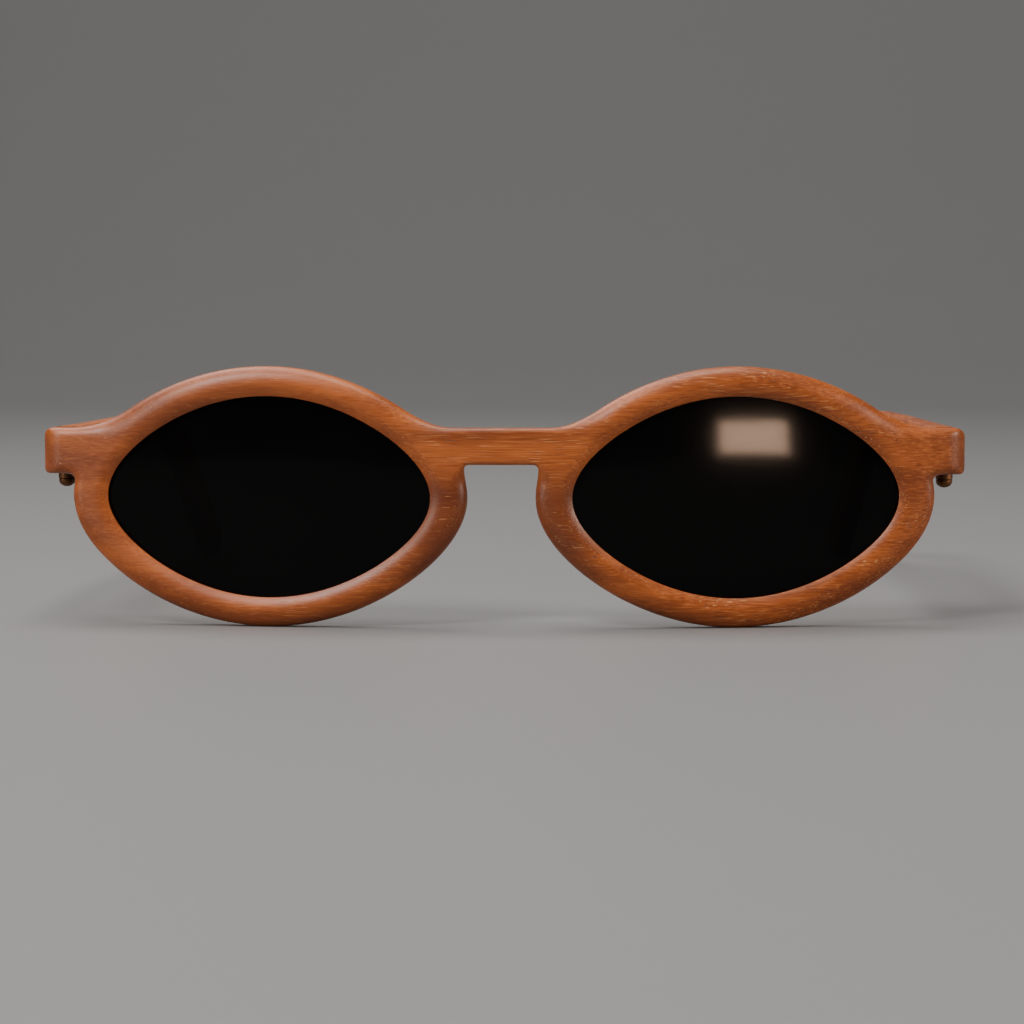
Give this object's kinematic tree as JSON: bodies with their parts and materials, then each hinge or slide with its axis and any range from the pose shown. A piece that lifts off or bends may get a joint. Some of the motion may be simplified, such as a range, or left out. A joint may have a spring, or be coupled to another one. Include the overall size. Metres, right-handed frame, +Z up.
{
  "type": "sunglasses",
  "caption": "Wooden sunglasses: a curved one-piece front with dark oval lenses and two folding arms, bent down over the ear, on sprung barrel hinges; stored open and standing.",
  "frame": {"origin": "centre of the open glasses' footprint, on the surface that the rims and arm tips stand on", "axes": "+X towards the wearer's left arm, +Y from the front towards the ears, +Z up"},
  "size_m": [0.145, 0.1518, 0.0407],
  "materials": {
    "wood": "satin oiled",
    "smoke_lens": "gloss",
    "hinge_metal": "antique bronze satin",
    "screw_steel": "satin",
    "spring_steel": "bright"
  },
  "bodies": {
    "front": {"frame_front": "wood", "left_lens": "smoke_lens", "right_lens": "smoke_lens", "left_hinge_plate": "hinge_metal", "left_plate_screws": "screw_steel", "left_pivot_screw": "screw_steel", "left_pivot_nut": "hinge_metal", "right_hinge_plate": "hinge_metal", "right_plate_screws": "screw_steel", "right_pivot_screw": "screw_steel", "right_pivot_nut": "hinge_metal"},
    "left_slider": {"left_hinge_slider": "hinge_metal", "left_spring_stop": "spring_steel"},
    "right_slider": {"right_hinge_slider": "hinge_metal", "right_spring_stop": "spring_steel"},
    "left_temple": {"left_arm": "wood", "left_spring_housing": "hinge_metal", "left_housing_screws": "screw_steel", "left_flex_spring": "spring_steel"},
    "right_temple": {"right_arm": "wood", "right_spring_housing": "hinge_metal", "right_housing_screws": "screw_steel", "right_flex_spring": "spring_steel"}
  },
  "joints": [
    {"name": "left_fold", "type": "hinge", "parent": "front", "child": "left_slider", "pos_m": [0.0698, -0.05779, 0.02625], "axis": [0, 0, 1], "range_deg": [0, 88]},
    {"name": "left_flex", "type": "slide", "parent": "left_slider", "child": "left_temple", "axis": [0, 1, 0], "range_m": [0, 0.0014], "stiffness_N_per_m": 3000, "springref_m": -0.0013, "deforming": ["left_flex_spring"]},
    {"name": "right_fold", "type": "hinge", "parent": "front", "child": "right_slider", "pos_m": [-0.0698, -0.05779, 0.02625], "axis": [0, 0, -1], "range_deg": [0, 82]},
    {"name": "right_flex", "type": "slide", "parent": "right_slider", "child": "right_temple", "axis": [0, 1, 0], "range_m": [0, 0.0014], "stiffness_N_per_m": 3000, "springref_m": -0.0013, "deforming": ["right_flex_spring"]}
  ]
}
